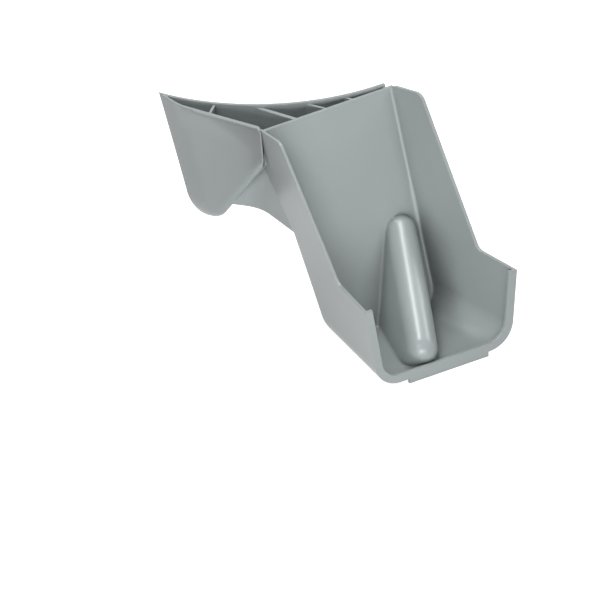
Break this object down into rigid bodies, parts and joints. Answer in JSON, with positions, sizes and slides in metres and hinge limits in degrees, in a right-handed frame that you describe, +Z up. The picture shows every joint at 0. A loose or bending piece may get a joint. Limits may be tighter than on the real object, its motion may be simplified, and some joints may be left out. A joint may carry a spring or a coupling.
{
  "type": "mower mulching plug",
  "caption": "Moulded plastic plug that closes a mower's rear discharge chute: a rimmed channel, a sloping closing wall and a hollow curved chamber wall with a side wing.",
  "frame": {"origin": "middle of the lower outer edge of the channel's open mouth", "axes": "+X across the channel, +Y from the mouth towards the cutting chamber, +Z up out of the open channel"},
  "size_m": [0.2418, 0.3819, 0.2497],
  "materials": {
    "moulded_plastic": "satin, fine moulded grain"
  },
  "bodies": {
    "root": {"mulching_plug": "moulded_plastic"}
  },
  "joints": []
}
